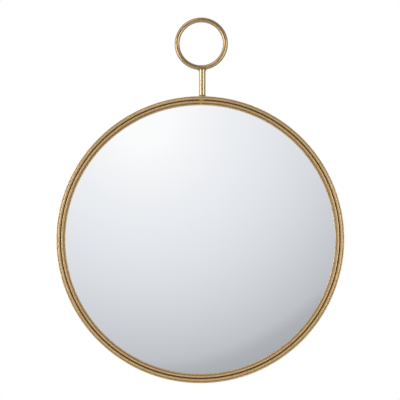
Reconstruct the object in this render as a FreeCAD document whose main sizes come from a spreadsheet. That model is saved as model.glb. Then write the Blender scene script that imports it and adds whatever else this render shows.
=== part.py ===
import FreeCAD, Part
import os
import Sketcher

# Round wall mirror in a gilded angle hoop with two rods along its lip, a stem and a hanging
# ring on top, and two swinging D-rings on its back.
# Millimetres. X is to the right, Y points back to the wall, Z is up. The origin is on the
# wall, behind the centre of the round mirror, and the mirror faces -Y.

DRIVING_SIZES = {
    # Frame: a rolled angle hoop, and two round rods side by side along the middle of its lip
    "frame_radius": 280.0,
    "lip_width": 17.6,
    "hoop_wall": 2.0,
    "hoop_depth": 16.0,
    "hoop_outer_bend": 1.2,
    "hoop_inner_bend": 0.5,
    "bead_diameter": 6.35,
    "bead_gap": 0.2,
    "bead_flat": 0.25,
    # Stem and hanging ring
    "stem_diameter": 13.0,
    "stem_length": 52.7,
    "stem_offset": 4.0,
    "stem_depth": 11.8,
    "ring_diameter": 105.0,
    "ring_rod": 10.0,
    "ring_offset": 2.0,
    "saddle_wrap": 2.4,
    "cope_fit": 0.1,
    "ring_weld_width": 2.8,
    "ring_weld_height": 4.5,
    "weld_crown": 0.3,
    "foot_weld_width": 1.2,
    "foot_weld_height": 4.0,
    # Layers behind the lip, front to back
    "tape_thickness": 0.8,
    "tape_width": 8.0,
    "tape_margin": 1.0,
    "glass_thickness": 4.0,
    "glass_edge_gap": 1.5,
    "glass_arris": 0.6,
    "coat_thickness": 0.2,
    "coat_margin": 1.0,
    "foam_thickness": 2.0,
    "foam_margin": 2.0,
    "board_thickness": 5.0,
    "board_edge_gap": 2.5,
    "board_chamfer": 0.6,
    # Folded tabs that hold the board in
    "tab_count": 8.0,
    "tab_thickness": 1.5,
    "tab_width": 15.0,
    "tab_reach": 21.0,
    "tab_leg": 7.0,
    "tab_bend": 0.5,
    "tab_fit": 0.2,
    "tab_corner": 3.5,
    "tab_hole_inset": 8.0,
    # Pan head screws
    "screw_shank": 3.5,
    "screw_length": 5.6,
    "screw_point": 1.6,
    "screw_head": 7.0,
    "screw_head_height": 2.2,
    "screw_head_rim": 1.0,
    "screw_fit": 0.1,
    "screw_hole_spare": 0.3,
    # Strap hangers with a swinging D-ring
    "hanger_inset": 85.5,
    "hanger_height": 100.0,
    "strap_sheet": 1.0,
    "strap_width": 14.0,
    "strap_length": 50.0,
    "strap_fold_step": 1.5,
    "strap_corner": 5.0,
    "strap_first_hole": 27.0,
    "strap_hole_pitch": 14.0,
    "d_ring_rod": 3.0,
    "d_ring_width": 27.0,
    "d_ring_drop": 19.0,
    "d_ring_corner": 3.5,
    "eye_clearance": 0.1,
    "rest_gap": 0.3,
    # Rubber bumpers that keep the back off the wall
    "bumper_height": 5.8,
    "bumper_diameter": 12.0,
    "bumper_foot_diameter": 14.0,
    "bumper_rim": 1.0,
    "bumper_inset": 32.0,
    # How far a cutting shape runs past what it cuts
    "overrun": 5.0,
}

document = FreeCAD.newDocument("wall_mirror")
sheet = document.addObject("Spreadsheet::Sheet", "sizes")
for row, (alias, size) in enumerate(DRIVING_SIZES.items(), start=1):
    sheet.set(f"A{row}", alias)
    sheet.set(f"B{row}", str(size))
    sheet.setAlias(f"B{row}", alias)
document.recompute()

# Levels along Y, from the wall forwards
board_back = "(-sizes.bumper_height)"
board_front = f"({board_back} - sizes.board_thickness)"
foam_front = f"({board_front} - sizes.foam_thickness)"
coat_front = f"({foam_front} - sizes.coat_thickness)"
glass_front = f"({coat_front} - sizes.glass_thickness)"
lip_back = f"({glass_front} - sizes.tape_thickness)"
lip_front = f"({lip_back} - sizes.hoop_wall)"
hoop_back = f"({lip_front} + sizes.hoop_depth)"
bead_centre_depth = f"({lip_front} - sizes.bead_diameter / 2 + sizes.bead_flat)"
tab_back = f"({board_back} + sizes.tab_thickness)"

# Radii about the Y axis
hoop_inside = "(sizes.frame_radius - sizes.hoop_wall)"
lip_inside = "(sizes.frame_radius - sizes.lip_width)"
groove_radius = "(sizes.frame_radius - sizes.lip_width / 2)"
outer_bead_radius = f"({groove_radius} + (sizes.bead_diameter + sizes.bead_gap) / 2)"
inner_bead_radius = f"({groove_radius} - (sizes.bead_diameter + sizes.bead_gap) / 2)"
glass_radius = f"({hoop_inside} - sizes.glass_edge_gap)"
tape_outside = f"({glass_radius} - sizes.tape_margin)"
board_radius = f"({hoop_inside} - sizes.board_edge_gap)"
tab_leg_outside = f"({hoop_inside} - sizes.tab_fit)"
tab_leg_inside = f"({tab_leg_outside} - sizes.tab_thickness)"
tab_tip = f"({tab_leg_outside} - sizes.tab_reach)"
tab_hole_radius = f"({tab_tip} + sizes.tab_hole_inset)"
screw_hole_radius = "(sizes.screw_shank / 2 + sizes.screw_fit)"
bumper_radius = f"({tab_tip} - sizes.bumper_inset)"
hanger_reach = f"({board_radius} - sizes.hanger_inset)"

# Ring on its stem
ring_mean_radius = "((sizes.ring_diameter - sizes.ring_rod) / 2)"
ring_bottom = "(sizes.frame_radius + sizes.stem_length)"
ring_centre_height = f"({ring_bottom} + sizes.ring_diameter / 2)"
stem_top = f"({ring_bottom} + sizes.saddle_wrap)"

# Strap hanger, measured from the board's back under the eye
eye_inside = "(sizes.d_ring_rod / 2 + sizes.eye_clearance)"
eye_outside = f"({eye_inside} + sizes.strap_sheet)"
strap_back = "(2 * sizes.strap_sheet)"
d_ring_limb = "((sizes.d_ring_width - sizes.d_ring_rod) / 2)"
d_ring_end_height = f"({strap_back} + sizes.rest_gap + sizes.d_ring_rod / 2)"
d_ring_tilt = f"asin(({d_ring_end_height} - {eye_outside}) / sizes.d_ring_drop)"


def value(expression):
    """The number that an expression on the sheet gives now."""
    return float(sheet.evalExpression(expression))


def new_body(name):
    body = document.addObject("PartDesign::Body", name)
    body.Label = name
    return body


def new_sketch(body, name, plane, offset=None):
    """A sketch on one of the body's own planes, moved along the plane's normal by offset."""
    sketch = body.newObject("Sketcher::SketchObject", f"{body.Name}_{name}")
    support = [item for item in body.Origin.OriginFeatures if item.Role == plane][0]
    sketch.AttachmentSupport = [(support, "")]
    sketch.MapMode = "FlatFace"
    if offset:
        sketch.setExpression("AttachmentOffset.Base.z", offset)
    return sketch


def point(across, up):
    return FreeCAD.Vector(value(across), value(up), 0)


def fix(sketch, kind, *arguments, size=None):
    """Add a constraint, and bind its size to an expression on the sheet."""
    if size is None:
        return sketch.addConstraint(Sketcher.Constraint(kind, *arguments))
    number = sketch.addConstraint(Sketcher.Constraint(kind, *arguments, value(size)))
    sketch.setExpression(f"Constraints[{number}]", size)
    return number


def fix_point(sketch, curve, position, across, up):
    """Hold one point of a curve at two expressions; zero puts it on the sketch's axis."""
    if across == "0":
        fix(sketch, "PointOnObject", curve, position, -2)
    else:
        fix(sketch, "DistanceX", -1, 1, curve, position, size=across)
    if up == "0":
        fix(sketch, "PointOnObject", curve, position, -1)
    else:
        fix(sketch, "DistanceY", -1, 1, curve, position, size=up)


def draw_polygon(sketch, corners):
    """A closed outline of straight lines through corners given as expressions."""
    lines = []
    for first, second in zip(corners, corners[1:] + corners[:1]):
        lines.append(sketch.addGeometry(Part.LineSegment(point(*first), point(*second)), False))
    for line, following in zip(lines, lines[1:] + lines[:1]):
        fix(sketch, "Coincident", line, 2, following, 1)
    for line, corner in zip(lines, corners):
        fix_point(sketch, line, 1, *corner)
    return lines


def draw_circle(sketch, across, up, radius):
    circle = Part.Circle(point(across, up), FreeCAD.Vector(0, 0, 1), value(radius))
    number = sketch.addGeometry(circle, False)
    fix_point(sketch, number, 3, across, up)
    fix(sketch, "Radius", number, size=radius)
    return number


def draw_axis(sketch, across, bottom, top):
    """A construction line parallel to the sketch's upright axis, to turn a profile about."""
    line = sketch.addGeometry(Part.LineSegment(point(across, bottom), point(across, top)), True)
    fix_point(sketch, line, 1, across, bottom)
    fix_point(sketch, line, 2, across, top)
    return line


def feature(body, kind, name, sketch, **settings):
    """A sketch-based feature; a text setting is an expression on the sheet."""
    item = body.newObject(f"PartDesign::{kind}", f"{body.Name}_{name}")
    item.Profile = sketch
    for key, setting in settings.items():
        if isinstance(setting, str) and key != "Type":
            item.setExpression(key, setting)
        else:
            setattr(item, key, setting)
    document.recompute()
    return item


def turned(body, name, kind, sketch, axis="V_Axis"):
    return feature(body, kind, name, sketch, ReferenceAxis=(sketch, [axis]), Angle=360)


def edges_at(shape, *places):
    """Names of the edges that pass through the given places."""
    names = []
    for place in places:
        spot = Part.Vertex(*(value(coordinate) for coordinate in place))
        for number, edge in enumerate(shape.Edges, start=1):
            if edge.distToShape(spot)[0] < 1e-4:
                names.append(f"Edge{number}")
    return names


def rounded(body, name, radius, *places):
    base = body.Tip
    fillet = body.newObject("PartDesign::Fillet", f"{body.Name}_{name}")
    fillet.Base = (base, edges_at(base.Shape, *places))
    fillet.setExpression("Radius", radius)
    document.recompute()
    return fillet


def turned_layer(name, corners):
    """A disc or hoop about the Y axis, from the corners of its section: radius, depth."""
    body = new_body(name)
    section = new_sketch(body, "section", "XY_Plane")
    draw_polygon(section, corners)
    turned(body, "turn", "Revolution", section)
    return body


def bead_rod(name, radius):
    """A rod bent to a closed hoop, with a flat along its back where it sits on the lip."""
    body = new_body(name)
    section = new_sketch(body, "section", "XY_Plane")
    rod_radius = value("sizes.bead_diameter / 2")
    seat = value(f"{lip_front} - {bead_centre_depth}")
    half_flat = (rod_radius**2 - seat**2) ** 0.5
    centre = point(radius, bead_centre_depth)
    left = centre + FreeCAD.Vector(-half_flat, seat, 0)
    right = centre + FreeCAD.Vector(half_flat, seat, 0)
    front = centre - FreeCAD.Vector(0, rod_radius, 0)
    arc = section.addGeometry(Part.Arc(left, front, right), False)
    flat = section.addGeometry(Part.LineSegment(right, left), False)
    fix(section, "Coincident", arc, 2, flat, 1)
    fix(section, "Coincident", flat, 2, arc, 1)
    fix(section, "Horizontal", flat)
    fix_point(section, arc, 3, radius, bead_centre_depth)
    fix(section, "Radius", arc, size="sizes.bead_diameter / 2")
    fix(section, "DistanceY", -1, 1, flat, 1, size=lip_front)
    turned(body, "bend", "Revolution", section)
    return body


def angle_hoop():
    """Rolled steel angle: a wall round the layers, and a lip in front of the glass."""
    body = turned_layer("angle_hoop", [
        ("sizes.frame_radius", lip_front),
        ("sizes.frame_radius", hoop_back),
        (hoop_inside, hoop_back),
        (hoop_inside, lip_back),
        (lip_inside, lip_back),
        (lip_inside, lip_front),
    ])
    rounded(body, "outer_bend", "sizes.hoop_outer_bend", ("0", lip_front, "sizes.frame_radius"))
    rounded(body, "inner_bend", "sizes.hoop_inner_bend", ("0", lip_back, hoop_inside))
    return body


def stem():
    """A round bar, coped to the hoop below and to the ring above, with its weld flares."""
    body = new_body("stem")
    body.setExpression("Placement.Base.y", "-sizes.stem_depth")
    bar_side = "(sizes.stem_offset + sizes.stem_diameter / 2)"
    foot_side = f"({bar_side} + sizes.foot_weld_width)"
    head_side = f"({bar_side} + sizes.ring_weld_width)"
    buried_foot = "(sizes.frame_radius - sizes.overrun)"
    foot_weld_top = "(sizes.frame_radius + sizes.foot_weld_height)"
    head_weld_start = f"({stem_top} - sizes.ring_weld_height)"
    outline = new_sketch(body, "outline", "XZ_Plane")
    draw_polygon(outline, [
        ("sizes.stem_offset", buried_foot),
        (foot_side, buried_foot),
        (foot_side, "sizes.frame_radius"),
        (bar_side, foot_weld_top),
        (bar_side, head_weld_start),
        (head_side, stem_top),
        ("sizes.stem_offset", stem_top),
    ])
    draw_axis(outline, "sizes.stem_offset", "0", ring_bottom)
    turned(body, "bar", "Revolution", outline, "Axis0")

    hoop_cut = new_sketch(body, "hoop_cut", "XY_Plane")
    past_bar = "(sizes.stem_diameter / 2 + sizes.foot_weld_width + sizes.overrun)"
    hoop_seat = "(sizes.frame_radius + sizes.cope_fit)"
    draw_polygon(hoop_cut, [
        ("0", f"-{past_bar}"),
        (hoop_seat, f"-{past_bar}"),
        (hoop_seat, past_bar),
        ("0", past_bar),
    ])
    turned(body, "hoop_cope", "Groove", hoop_cut)

    ring_cut = new_sketch(body, "ring_cut", "XY_Plane", ring_centre_height)
    saddle_radius = "(sizes.ring_rod / 2 + sizes.cope_fit)"
    draw_circle(ring_cut, f"(sizes.ring_offset + {ring_mean_radius})", "0", saddle_radius)
    draw_axis(ring_cut, "sizes.ring_offset", "0", "sizes.ring_diameter")
    turned(body, "ring_saddle", "Groove", ring_cut, "Axis0")

    # The ring's weld fills the corners at its two sides and stays low at the front and back
    weld_face = "(sizes.stem_diameter / 2 + sizes.weld_crown)"
    past_weld = f"({weld_face} + sizes.ring_weld_width + sizes.overrun)"
    above_weld = f"({stem_top} + sizes.overrun)"
    dressing = new_sketch(body, "dressing", "YZ_Plane")
    for front in ("", "-"):
        draw_polygon(dressing, [
            (f"{front}{weld_face}", f"({head_weld_start} - sizes.overrun)"),
            (f"{front}{past_weld}", f"({head_weld_start} - sizes.overrun)"),
            (f"{front}{past_weld}", above_weld),
            (f"{front}{weld_face}", above_weld),
        ])
    reach = f"2 * {past_weld} + 2 * sizes.stem_offset"
    feature(body, "Pocket", "dressed_weld", dressing, Midplane=True, Length=reach)
    return body


def hanging_ring():
    body = new_body("hanging_ring")
    body.setExpression("Placement.Base.x", "sizes.ring_offset")
    body.setExpression("Placement.Base.y", "-sizes.stem_depth")
    body.setExpression("Placement.Base.z", ring_centre_height)
    section = new_sketch(body, "section", "XY_Plane")
    draw_circle(section, ring_mean_radius, "0", "sizes.ring_rod / 2")
    turned(body, "bend", "Revolution", section)
    return body


def mirror_pane():
    """Float glass with a small arris ground on both edges."""
    arris_radius = f"({glass_radius} - sizes.glass_arris)"
    return turned_layer("mirror_pane", [
        ("0", glass_front),
        (arris_radius, glass_front),
        (glass_radius, f"({glass_front} + sizes.glass_arris)"),
        (glass_radius, f"({coat_front} - sizes.glass_arris)"),
        (arris_radius, coat_front),
        ("0", coat_front),
    ])


def flat_layer(name, radius, front, back):
    return turned_layer(name, [("0", front), (radius, front), (radius, back), ("0", back)])


def glazing_tape():
    tape_inside = f"({tape_outside} - sizes.tape_width)"
    return turned_layer("glazing_tape", [
        (tape_inside, lip_back),
        (tape_outside, lip_back),
        (tape_outside, glass_front),
        (tape_inside, glass_front),
    ])


def screw_depth(seat):
    """How deep a screw whose head sits at this level goes into the board, with spare."""
    return f"({board_back} - ({seat} - sizes.screw_length) + sizes.screw_hole_spare)"


def back_board():
    """Fibreboard disc with pilot holes for the tab screws and for the strap screws."""
    edge_inside = f"({board_radius} - sizes.board_chamfer)"
    body = turned_layer("back_board", [
        ("0", board_front),
        (board_radius, board_front),
        (board_radius, f"({board_back} - sizes.board_chamfer)"),
        (edge_inside, board_back),
        ("0", board_back),
    ])
    back_plane = f"-{board_back}"

    tab_hole = new_sketch(body, "tab_hole", "XZ_Plane", back_plane)
    draw_circle(tab_hole, tab_hole_radius, "0", screw_hole_radius)
    drilled = feature(
        body, "Pocket", "tab_pilot", tab_hole, Reversed=True, Length=screw_depth(tab_back)
    )
    ring_of_holes = body.newObject("PartDesign::PolarPattern", "back_board_tab_pilots")
    ring_of_holes.Originals = [drilled]
    ring_of_holes.Axis = (tab_hole, ["N_Axis"])
    ring_of_holes.Angle = 360
    ring_of_holes.setExpression("Occurrences", "sizes.tab_count")
    body.Tip = ring_of_holes
    document.recompute()

    strap_seat = f"({board_back} + {strap_back})"
    strap_holes = new_sketch(body, "strap_holes", "XZ_Plane", back_plane)
    for side in ("", "-"):
        for drop in strap_hole_drops():
            height = f"(sizes.hanger_height - {drop})"
            draw_circle(strap_holes, f"{side}{hanger_reach}", height, screw_hole_radius)
    feature(
        body, "Pocket", "strap_pilots", strap_holes, Reversed=True, Length=screw_depth(strap_seat)
    )
    return body


def strap_hole_drops():
    """How far below the eye each of a strap's two screws goes."""
    second = "(sizes.strap_first_hole + sizes.strap_hole_pitch)"
    return ["sizes.strap_first_hole", second]


def retaining_tab(number):
    """A strip welded inside the hoop's wall and folded over the board, with a screw hole."""
    body = new_body(f"retaining_tab_{number}")
    body.Placement = FreeCAD.Placement(
        FreeCAD.Vector(), FreeCAD.Rotation(FreeCAD.Vector(0, 1, 0), 1)
    )
    body.setExpression("Placement.Rotation.Angle", f"360 / sizes.tab_count * {number - 1}")
    leg_front = f"({tab_back} - sizes.tab_leg)"
    fold = new_sketch(body, "fold", "XY_Plane")
    draw_polygon(fold, [
        (tab_leg_outside, tab_back),
        (tab_leg_outside, leg_front),
        (tab_leg_inside, leg_front),
        (tab_leg_inside, board_back),
        (tab_tip, board_back),
        (tab_tip, tab_back),
    ])
    feature(body, "Pad", "strip", fold, Midplane=True, Length="sizes.tab_width")
    outer_bend = "sizes.tab_thickness + sizes.tab_bend"
    rounded(body, "outer_bend", outer_bend, (tab_leg_outside, tab_back, "0"))
    rounded(body, "inner_bend", "sizes.tab_bend", (tab_leg_inside, board_back, "0"))
    mid_thickness = f"({board_back} + sizes.tab_thickness / 2)"
    corners = [(tab_tip, mid_thickness, f"{side}sizes.tab_width / 2") for side in ("", "-")]
    rounded(body, "corners", "sizes.tab_corner", *corners)
    hole = new_sketch(body, "hole", "XZ_Plane", f"-{board_back}")
    draw_circle(hole, tab_hole_radius, "0", screw_hole_radius)
    through = "2 * sizes.tab_thickness + 2 * sizes.overrun"
    feature(body, "Pocket", "screw_hole", hole, Midplane=True, Length=through)
    return body


def draw_screw(body, across, seat):
    """Half the section of a pan head screw whose head sits at this level, turned solid."""
    head_edge = f"({across} + sizes.screw_head / 2)"
    head_top_edge = f"({across} + sizes.screw_head / 2 - sizes.screw_head_rim)"
    shank_edge = f"({across} + sizes.screw_shank / 2)"
    rim_top = f"({seat} + sizes.screw_head_height - sizes.screw_head_rim)"
    crown = f"({seat} + sizes.screw_head_height)"
    tip = f"({seat} - sizes.screw_length)"
    section = new_sketch(body, "section", "XY_Plane")
    draw_polygon(section, [
        (across, tip),
        (shank_edge, f"({tip} + sizes.screw_point)"),
        (shank_edge, seat),
        (head_edge, seat),
        (head_edge, rim_top),
        (head_top_edge, crown),
        (across, crown),
    ])
    draw_axis(section, across, tip, crown)
    return turned(body, "screw", "Revolution", section, "Axis0")


def tab_screws():
    """One screw through each tab, in one node of separate solids."""
    body = new_body("tab_screws")
    screw = draw_screw(body, tab_hole_radius, tab_back)
    ring_of_screws = body.newObject("PartDesign::PolarPattern", "tab_screws_round")
    ring_of_screws.Originals = [screw]
    ring_of_screws.Axis = (body.Origin.OriginFeatures[1], [""])
    ring_of_screws.Angle = 360
    ring_of_screws.setExpression("Occurrences", "sizes.tab_count")
    body.Tip = ring_of_screws
    document.recompute()
    return body


def hanger_screws(side_name, side):
    """The two screws of one strap hanger."""
    body = new_body(f"hanger_screws_{side_name}")
    body.setExpression("Placement.Base.x", f"{side} * {hanger_reach}")
    body.setExpression("Placement.Base.z", "sizes.hanger_height - sizes.strap_first_hole")
    screw = draw_screw(body, "0", f"({board_back} + {strap_back})")
    pair = body.newObject("PartDesign::LinearPattern", f"{body.Name}_pair")
    pair.Originals = [screw]
    pair.Direction = (body.Origin.OriginFeatures[2], [""])
    pair.Reversed = True
    pair.setExpression("Length", "sizes.strap_hole_pitch")
    pair.Occurrences = 2
    body.Tip = pair
    document.recompute()
    return body


def hanger_strap(side_name, side):
    """Sheet strip folded double round the D-ring's bar, and screwed down through both layers."""
    body = new_body(f"hanger_strap_{side_name}")
    body.setExpression("Placement.Base.x", f"{side} * {hanger_reach}")
    body.setExpression("Placement.Base.y", board_back)
    body.setExpression("Placement.Base.z", "sizes.hanger_height")
    profile = new_sketch(body, "profile", "YZ_Plane")
    strap_end = "(-sizes.strap_length)"
    top_layer_end = f"({strap_end} + sizes.strap_fold_step)"
    outside = value(eye_outside)
    layer_rise = outside - value(strap_back)
    return_drop = f"(-sqrt({eye_outside} ^ 2 - ({eye_outside} - {strap_back}) ^ 2))"
    meeting = FreeCAD.Vector(value(strap_back), -((outside**2 - layer_rise**2) ** 0.5), 0)
    eye_far = FreeCAD.Vector(2 * outside, 0, 0)
    underside = profile.addGeometry(
        Part.LineSegment(point("0", strap_end), FreeCAD.Vector()), False
    )
    eye = profile.addGeometry(Part.Arc(meeting, eye_far, FreeCAD.Vector()), False)
    top_layer = profile.addGeometry(
        Part.LineSegment(meeting, point(strap_back, top_layer_end)), False
    )
    top_end = profile.addGeometry(Part.LineSegment(
        point(strap_back, top_layer_end), point("sizes.strap_sheet", top_layer_end)
    ), False)
    step = profile.addGeometry(Part.LineSegment(
        point("sizes.strap_sheet", top_layer_end), point("sizes.strap_sheet", strap_end)
    ), False)
    bottom_end = profile.addGeometry(
        Part.LineSegment(point("sizes.strap_sheet", strap_end), point("0", strap_end)), False
    )
    fix(profile, "Coincident", underside, 2, eye, 2)
    fix(profile, "Coincident", eye, 1, top_layer, 1)
    fix(profile, "Coincident", top_layer, 2, top_end, 1)
    fix(profile, "Coincident", top_end, 2, step, 1)
    fix(profile, "Coincident", step, 2, bottom_end, 1)
    fix(profile, "Coincident", bottom_end, 2, underside, 1)
    fix_point(profile, underside, 1, "0", strap_end)
    fix_point(profile, underside, 2, "0", "0")
    fix_point(profile, eye, 3, eye_outside, "0")
    fix(profile, "DistanceX", -1, 1, top_layer, 1, size=strap_back)
    fix_point(profile, top_layer, 2, strap_back, top_layer_end)
    fix_point(profile, step, 1, "sizes.strap_sheet", top_layer_end)
    fix_point(profile, step, 2, "sizes.strap_sheet", strap_end)
    draw_circle(profile, eye_outside, "0", eye_inside)
    feature(body, "Pad", "strip", profile, Midplane=True, Length="sizes.strap_width")
    rounded(body, "return_bend", "sizes.strap_sheet", ("0", strap_back, return_drop))
    corners = new_sketch(body, "corners", "XZ_Plane")
    for edge, sign in (("", 1), ("-", -1)):
        draw_corner_waste(corners, edge, sign)
    through_both = f"2 * {strap_back} + 2 * sizes.overrun"
    feature(body, "Pocket", "round_end", corners, Midplane=True, Length=through_both)
    holes = new_sketch(body, "holes", "XZ_Plane")
    for drop in strap_hole_drops():
        draw_circle(holes, "0", f"(-{drop})", screw_hole_radius)
    feature(body, "Pocket", "screw_holes", holes, Midplane=True, Length=through_both)
    return body


def draw_corner_waste(sketch, edge, sign):
    """What comes off one corner of the strap's lower end to leave it round."""
    corner_start = "(sizes.strap_width / 2 - sizes.strap_corner)"
    side = f"{edge}sizes.strap_width / 2"
    past_side = f"{edge}(sizes.strap_width / 2 + sizes.overrun)"
    past_end = "(-sizes.strap_length - sizes.overrun)"
    corner_top = "(sizes.strap_corner - sizes.strap_length)"
    waste = [
        (f"{edge}{corner_start}", "-sizes.strap_length"),
        (f"{edge}{corner_start}", past_end),
        (past_side, past_end),
        (past_side, corner_top),
        (side, corner_top),
    ]
    lines = []
    for first, second in zip(waste, waste[1:]):
        lines.append(sketch.addGeometry(Part.LineSegment(point(*first), point(*second)), False))
    for line, following in zip(lines, lines[1:]):
        fix(sketch, "Coincident", line, 2, following, 1)
    for line, corner in zip(lines, waste):
        fix_point(sketch, line, 1, *corner)
    fix_point(sketch, lines[-1], 2, *waste[-1])
    radius = value("sizes.strap_corner")
    slant = radius * 0.5**0.5
    centre = point(f"{edge}{corner_start}", corner_top)
    middle = centre + FreeCAD.Vector(sign * slant, -slant, 0)
    arc = sketch.addGeometry(Part.Arc(point(*waste[-1]), middle, point(*waste[0])), False)
    # An arc's ends are stored anticlockwise, so the two corners meet their lines differently
    side_end, bottom_end = (2, 1) if sign > 0 else (1, 2)
    fix(sketch, "Coincident", arc, side_end, lines[-1], 2)
    fix(sketch, "Coincident", arc, bottom_end, lines[0], 1)
    fix(sketch, "Radius", arc, size="sizes.strap_corner")


def d_ring(side_name, side):
    """Wire bent to a D: its bar turns in the strap's eye, and its bow hangs over the strap."""
    body = new_body(f"d_ring_{side_name}")
    body.Placement = FreeCAD.Placement(
        FreeCAD.Vector(), FreeCAD.Rotation(FreeCAD.Vector(1, 0, 0), 1)
    )
    body.setExpression("Placement.Base.x", f"{side} * {hanger_reach}")
    body.setExpression("Placement.Base.y", f"{board_back} + {eye_outside}")
    body.setExpression("Placement.Base.z", "sizes.hanger_height")
    body.setExpression("Placement.Rotation.Angle", d_ring_tilt)
    corner_across = f"({d_ring_limb} - sizes.d_ring_corner)"
    bow_height = f"(-(sizes.d_ring_drop - {d_ring_limb}))"
    limb = value(d_ring_limb)
    corner = value("sizes.d_ring_corner")
    drop = value("sizes.d_ring_drop")
    slant = corner * 0.5**0.5

    path = new_sketch(body, "path", "XZ_Plane")
    bar = path.addGeometry(Part.LineSegment(
        point(f"-{corner_across}", "0"), point(corner_across, "0")
    ), False)
    fix_point(path, bar, 1, f"-{corner_across}", "0")
    fix_point(path, bar, 2, corner_across, "0")
    limbs = {}
    for edge, sign in (("", 1), ("-", -1)):
        limbs[sign] = path.addGeometry(Part.LineSegment(
            point(f"{edge}{d_ring_limb}", "-sizes.d_ring_corner"),
            point(f"{edge}{d_ring_limb}", bow_height),
        ), False)
        fix_point(path, limbs[sign], 1, f"{edge}{d_ring_limb}", "-sizes.d_ring_corner")
        fix_point(path, limbs[sign], 2, f"{edge}{d_ring_limb}", bow_height)
        middle = FreeCAD.Vector(sign * (limb - corner + slant), slant - corner, 0)
        start = FreeCAD.Vector(sign * (limb - corner), 0, 0)
        end = FreeCAD.Vector(sign * limb, -corner, 0)
        bend = path.addGeometry(Part.Arc(start, middle, end), False)
        # An arc's ends are stored anticlockwise, so the two corners meet the bar differently
        bar_end, limb_end = (2, 1) if sign > 0 else (1, 2)
        fix(path, "Coincident", bend, bar_end, bar, 2 if sign > 0 else 1)
        fix(path, "Coincident", bend, limb_end, limbs[sign], 1)
        fix(path, "Radius", bend, size="sizes.d_ring_corner")
    bow_level = value(bow_height)
    bow = path.addGeometry(Part.Arc(
        FreeCAD.Vector(-limb, bow_level, 0),
        FreeCAD.Vector(0, -drop, 0),
        FreeCAD.Vector(limb, bow_level, 0),
    ), False)
    fix(path, "Coincident", bow, 1, limbs[-1], 2)
    fix(path, "Coincident", bow, 2, limbs[1], 2)
    fix(path, "DistanceY", -1, 1, bow, 3, size=bow_height)

    wire = new_sketch(body, "wire", "YZ_Plane")
    draw_circle(wire, "0", "0", "sizes.d_ring_rod / 2")
    document.recompute()
    edges = [f"Edge{number + 1}" for number in range(len(path.Shape.Edges))]
    feature(body, "AdditivePipe", "bend", wire, Spine=(path, edges))
    return body


def wall_bumper(number):
    """A moulded rubber bumper, wider at its foot, with a flat face against the wall."""
    body = new_body(f"wall_bumper_{number}")
    # Midway between the top or bottom tab and its neighbour
    off_vertical = "(180 / sizes.tab_count)"
    across = "" if number in (1, 4) else "-"
    height = "" if number in (1, 2) else "-"
    body.setExpression("Placement.Base.x", f"{across}{bumper_radius} * sin({off_vertical})")
    body.setExpression("Placement.Base.z", f"{height}{bumper_radius} * cos({off_vertical})")
    section = new_sketch(body, "section", "XY_Plane")
    draw_polygon(section, [
        ("0", board_back),
        ("sizes.bumper_foot_diameter / 2", board_back),
        ("sizes.bumper_diameter / 2", "-sizes.bumper_rim"),
        ("sizes.bumper_diameter / 2 - sizes.bumper_rim", "0"),
        ("0", "0"),
    ])
    turned(body, "moulding", "Revolution", section)
    return body


def build_all():
    coat_radius = f"({glass_radius} - sizes.coat_margin)"
    foam_radius = f"({glass_radius} - sizes.foam_margin)"
    pieces = [
        bead_rod("outer_bead_rod", outer_bead_radius),
        bead_rod("inner_bead_rod", inner_bead_radius),
        angle_hoop(),
        stem(),
        hanging_ring(),
        glazing_tape(),
        mirror_pane(),
        flat_layer("silver_coat", coat_radius, coat_front, foam_front),
        flat_layer("foam_sheet", foam_radius, foam_front, board_front),
        back_board(),
        tab_screws(),
    ]
    for number in range(1, round(value("sizes.tab_count")) + 1):
        pieces.append(retaining_tab(number))
    for side_name, side in (("left", -1), ("right", 1)):
        pieces.append(hanger_strap(side_name, side))
        pieces.append(d_ring(side_name, side))
        pieces.append(hanger_screws(side_name, side))
    for number in range(1, 5):
        pieces.append(wall_bumper(number))
    return pieces


def write_all(pieces):
    document.recompute()
    for item in document.Objects:
        if "Invalid" in item.State or "Error" in item.State:
            raise ValueError(f"{item.Name} did not build: {item.State}")
    for piece in pieces:
        if piece.Shape.isNull() or not piece.Shape.isValid() or not piece.Shape.Solids:
            raise ValueError(f"{piece.Label} has no valid solid")
    os.makedirs("parts", exist_ok=True)
    for piece in pieces:
        piece.Shape.exportStep(f"parts/{piece.Label}.step")
        print(piece.Label, len(piece.Shape.Solids), round(piece.Shape.Volume, 1))


write_all(build_all())
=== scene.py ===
import math

import bpy
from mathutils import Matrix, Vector, noise


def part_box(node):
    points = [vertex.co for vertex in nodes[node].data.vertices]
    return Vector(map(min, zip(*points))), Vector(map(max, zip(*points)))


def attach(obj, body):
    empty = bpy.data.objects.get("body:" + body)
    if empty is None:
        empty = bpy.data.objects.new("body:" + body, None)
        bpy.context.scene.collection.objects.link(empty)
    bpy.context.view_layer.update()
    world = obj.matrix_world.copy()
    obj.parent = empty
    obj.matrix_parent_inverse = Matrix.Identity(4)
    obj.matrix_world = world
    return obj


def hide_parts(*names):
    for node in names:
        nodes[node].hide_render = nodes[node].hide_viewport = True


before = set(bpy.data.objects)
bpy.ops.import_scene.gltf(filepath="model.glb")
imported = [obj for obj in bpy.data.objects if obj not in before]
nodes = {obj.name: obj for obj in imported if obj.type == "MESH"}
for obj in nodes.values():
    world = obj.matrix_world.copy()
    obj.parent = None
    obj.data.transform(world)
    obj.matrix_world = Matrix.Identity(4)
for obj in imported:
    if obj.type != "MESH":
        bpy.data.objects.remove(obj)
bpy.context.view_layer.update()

# Round wall mirror: gilded angle hoop, two thin rods along its lip, stem and hanging ring, and
# the board, tabs, screws, D-ring hangers and bumpers of its back. Metres; it faces -Y.

BODY = "mirror_body"

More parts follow.
